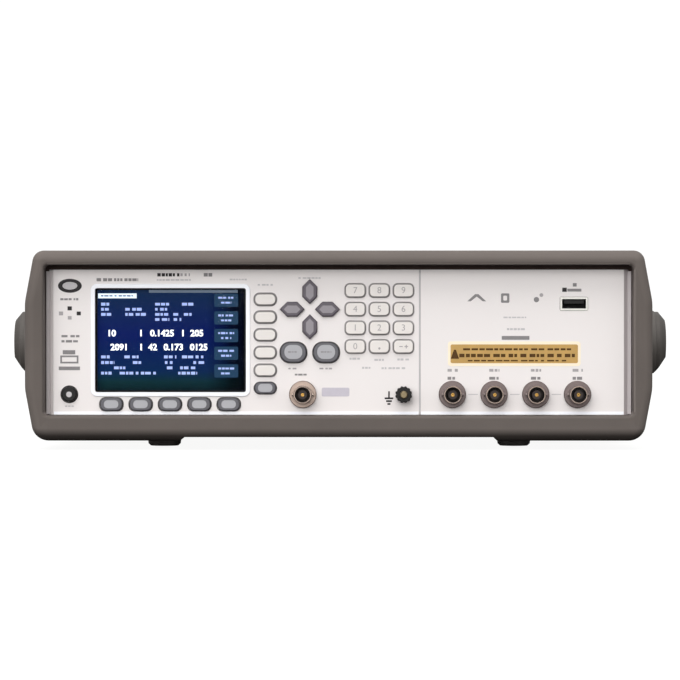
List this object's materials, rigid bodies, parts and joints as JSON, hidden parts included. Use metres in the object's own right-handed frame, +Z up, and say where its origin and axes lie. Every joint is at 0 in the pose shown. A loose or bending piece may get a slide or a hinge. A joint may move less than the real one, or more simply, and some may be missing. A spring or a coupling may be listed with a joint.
{
  "type": "lcr meter",
  "caption": "Low bench LCR meter: rubber bumpers round a steel case, white panel with display, oval push keys and BNC test sockets, and a carrying handle that swings on side hubs.",
  "frame": {"origin": "centre of the whole meter's footprint, on the bench, with the handle lying back", "axes": "+X to the user's right, +Y from the front panel to the rear, +Z up"},
  "size_m": [0.376, 0.39, 0.105],
  "materials": {
    "bumper_rubber": "matte",
    "panel_white": "fine texture",
    "cover_paint": "powder coat",
    "chassis_steel": "zinc plated",
    "key_light": "matte",
    "key_grey": "matte",
    "key_dark": "matte",
    "display_glass": "clear",
    "display_black": "matte",
    "circuit_board": "solder mask",
    "connector_metal": "nickel plated",
    "insulator": "matte",
    "black_plastic": "matte",
    "screw_steel": "satin",
    "handle_plastic": "fine texture",
    "grip_rubber": "matte",
    "socket_metal": "satin",
    "screen_can": "satin",
    "supply_steel": "dull"
  },
  "bodies": {
    "cabinet": {"ac_inlet": "black_plastic", "bias_bnc": "connector_metal", "bnc_insulators": "insulator", "chassis_tray": "chassis_steel", "fan_frame": "black_plastic", "feet": "grip_rubber", "fixing_screws": "screw_steel", "front_bezel": "panel_white", "front_bumper": "bumper_rubber", "front_usb_port": "socket_metal", "ground_post": "connector_metal", "keyboard_board": "circuit_board", "lcd_module": "display_black", "lcd_window": "display_glass", "main_board": "circuit_board", "measurement_module": "screen_can", "pivot_hubs": "handle_plastic", "power_supply": "supply_steel", "rear_bumper": "bumper_rubber", "rear_panel": "cover_paint", "rear_ports": "socket_metal", "terminal_panel": "panel_white", "test_bncs": "connector_metal", "top_cover": "cover_paint"},
    "handle": {"carry_handle": "handle_plastic", "handle_grip": "grip_rubber", "hub_caps": "handle_plastic"},
    "fan": {"fan_rotor": "black_plastic"},
    "fuse_holder": {"fuse_drawer": "black_plastic"},
    "earth_nut": {"ground_nut": "black_plastic"},
    "power_switch": {"power_button": "key_grey"},
    "softkey_1_cap": {"softkey_1": "key_light"},
    "softkey_2_cap": {"softkey_2": "key_light"},
    "softkey_3_cap": {"softkey_3": "key_light"},
    "softkey_4_cap": {"softkey_4": "key_light"},
    "softkey_5_cap": {"softkey_5": "key_light"},
    "softkey_6_cap": {"softkey_6": "key_grey"},
    "menu_key_1_cap": {"menu_key_1": "key_grey"},
    "menu_key_2_cap": {"menu_key_2": "key_grey"},
    "menu_key_3_cap": {"menu_key_3": "key_grey"},
    "menu_key_4_cap": {"menu_key_4": "key_grey"},
    "menu_key_5_cap": {"menu_key_5": "key_grey"},
    "arrow_up_cap": {"arrow_up": "key_dark"},
    "arrow_down_cap": {"arrow_down": "key_dark"},
    "arrow_left_cap": {"arrow_left": "key_dark"},
    "arrow_right_cap": {"arrow_right": "key_dark"},
    "preset_key_cap": {"preset_key": "key_grey"},
    "trigger_key_cap": {"trigger_key": "key_grey"},
    "key_7_cap": {"key_7": "key_light"},
    "key_8_cap": {"key_8": "key_light"},
    "key_9_cap": {"key_9": "key_light"},
    "key_4_cap": {"key_4": "key_light"},
    "key_5_cap": {"key_5": "key_light"},
    "key_6_cap": {"key_6": "key_light"},
    "key_1_cap": {"key_1": "key_light"},
    "key_2_cap": {"key_2": "key_light"},
    "key_3_cap": {"key_3": "key_light"},
    "key_0_cap": {"key_0": "key_light"},
    "key_point_cap": {"key_point": "key_light"},
    "key_sign_cap": {"key_sign": "key_light"}
  },
  "joints": [
    {"name": "handle_swing", "type": "hinge", "parent": "cabinet", "child": "handle", "pos_m": [0, -0.013, 0.055], "axis": [1, 0, 0], "range_deg": [0, 225]},
    {"name": "fan_spin", "type": "hinge", "parent": "cabinet", "child": "fan", "pos_m": [-0.052, 0.15, 0.055], "axis": [0, 1, 0], "continuous": true},
    {"name": "fuse_drawer_slide", "type": "slide", "parent": "cabinet", "child": "fuse_holder", "axis": [0, 1, 0], "range_m": [0, 0.017]},
    {"name": "ground_nut_turn", "type": "hinge", "parent": "cabinet", "child": "earth_nut", "pos_m": [0.0343, -0.187, 0.0292], "axis": [0, -1, 0], "range_deg": [0, 720]},
    {"name": "power_press", "type": "slide", "parent": "cabinet", "child": "power_switch", "axis": [0, 1, 0], "range_m": [0, 0.002], "stiffness_N_per_m": 350},
    {"name": "softkey_1_press", "type": "slide", "parent": "cabinet", "child": "softkey_1_cap", "axis": [0, 1, 0], "range_m": [0, 0.001], "stiffness_N_per_m": 300},
    {"name": "softkey_2_press", "type": "slide", "parent": "cabinet", "child": "softkey_2_cap", "axis": [0, 1, 0], "range_m": [0, 0.001], "stiffness_N_per_m": 300},
    {"name": "softkey_3_press", "type": "slide", "parent": "cabinet", "child": "softkey_3_cap", "axis": [0, 1, 0], "range_m": [0, 0.001], "stiffness_N_per_m": 300},
    {"name": "softkey_4_press", "type": "slide", "parent": "cabinet", "child": "softkey_4_cap", "axis": [0, 1, 0], "range_m": [0, 0.001], "stiffness_N_per_m": 300},
    {"name": "softkey_5_press", "type": "slide", "parent": "cabinet", "child": "softkey_5_cap", "axis": [0, 1, 0], "range_m": [0, 0.001], "stiffness_N_per_m": 300},
    {"name": "softkey_6_press", "type": "slide", "parent": "cabinet", "child": "softkey_6_cap", "axis": [0, 1, 0], "range_m": [0, 0.001], "stiffness_N_per_m": 300},
    {"name": "menu_key_1_press", "type": "slide", "parent": "cabinet", "child": "menu_key_1_cap", "axis": [0, 1, 0], "range_m": [0, 0.001], "stiffness_N_per_m": 300},
    {"name": "menu_key_2_press", "type": "slide", "parent": "cabinet", "child": "menu_key_2_cap", "axis": [0, 1, 0], "range_m": [0, 0.001], "stiffness_N_per_m": 300},
    {"name": "menu_key_3_press", "type": "slide", "parent": "cabinet", "child": "menu_key_3_cap", "axis": [0, 1, 0], "range_m": [0, 0.001], "stiffness_N_per_m": 300},
    {"name": "menu_key_4_press", "type": "slide", "parent": "cabinet", "child": "menu_key_4_cap", "axis": [0, 1, 0], "range_m": [0, 0.001], "stiffness_N_per_m": 300},
    {"name": "menu_key_5_press", "type": "slide", "parent": "cabinet", "child": "menu_key_5_cap", "axis": [0, 1, 0], "range_m": [0, 0.001], "stiffness_N_per_m": 300},
    {"name": "arrow_up_press", "type": "slide", "parent": "cabinet", "child": "arrow_up_cap", "axis": [0, 1, 0], "range_m": [0, 0.001], "stiffness_N_per_m": 300},
    {"name": "arrow_down_press", "type": "slide", "parent": "cabinet", "child": "arrow_down_cap", "axis": [0, 1, 0], "range_m": [0, 0.001], "stiffness_N_per_m": 300},
    {"name": "arrow_left_press", "type": "slide", "parent": "cabinet", "child": "arrow_left_cap", "axis": [0, 1, 0], "range_m": [0, 0.001], "stiffness_N_per_m": 300},
    {"name": "arrow_right_press", "type": "slide", "parent": "cabinet", "child": "arrow_right_cap", "axis": [0, 1, 0], "range_m": [0, 0.001], "stiffness_N_per_m": 300},
    {"name": "preset_key_press", "type": "slide", "parent": "cabinet", "child": "preset_key_cap", "axis": [0, 1, 0], "range_m": [0, 0.001], "stiffness_N_per_m": 300},
    {"name": "trigger_key_press", "type": "slide", "parent": "cabinet", "child": "trigger_key_cap", "axis": [0, 1, 0], "range_m": [0, 0.001], "stiffness_N_per_m": 300},
    {"name": "key_7_press", "type": "slide", "parent": "cabinet", "child": "key_7_cap", "axis": [0, 1, 0], "range_m": [0, 0.001], "stiffness_N_per_m": 300},
    {"name": "key_8_press", "type": "slide", "parent": "cabinet", "child": "key_8_cap", "axis": [0, 1, 0], "range_m": [0, 0.001], "stiffness_N_per_m": 300},
    {"name": "key_9_press", "type": "slide", "parent": "cabinet", "child": "key_9_cap", "axis": [0, 1, 0], "range_m": [0, 0.001], "stiffness_N_per_m": 300},
    {"name": "key_4_press", "type": "slide", "parent": "cabinet", "child": "key_4_cap", "axis": [0, 1, 0], "range_m": [0, 0.001], "stiffness_N_per_m": 300},
    {"name": "key_5_press", "type": "slide", "parent": "cabinet", "child": "key_5_cap", "axis": [0, 1, 0], "range_m": [0, 0.001], "stiffness_N_per_m": 300},
    {"name": "key_6_press", "type": "slide", "parent": "cabinet", "child": "key_6_cap", "axis": [0, 1, 0], "range_m": [0, 0.001], "stiffness_N_per_m": 300},
    {"name": "key_1_press", "type": "slide", "parent": "cabinet", "child": "key_1_cap", "axis": [0, 1, 0], "range_m": [0, 0.001], "stiffness_N_per_m": 300},
    {"name": "key_2_press", "type": "slide", "parent": "cabinet", "child": "key_2_cap", "axis": [0, 1, 0], "range_m": [0, 0.001], "stiffness_N_per_m": 300},
    {"name": "key_3_press", "type": "slide", "parent": "cabinet", "child": "key_3_cap", "axis": [0, 1, 0], "range_m": [0, 0.001], "stiffness_N_per_m": 300},
    {"name": "key_0_press", "type": "slide", "parent": "cabinet", "child": "key_0_cap", "axis": [0, 1, 0], "range_m": [0, 0.001], "stiffness_N_per_m": 300},
    {"name": "key_point_press", "type": "slide", "parent": "cabinet", "child": "key_point_cap", "axis": [0, 1, 0], "range_m": [0, 0.001], "stiffness_N_per_m": 300},
    {"name": "key_sign_press", "type": "slide", "parent": "cabinet", "child": "key_sign_cap", "axis": [0, 1, 0], "range_m": [0, 0.001], "stiffness_N_per_m": 300}
  ]
}
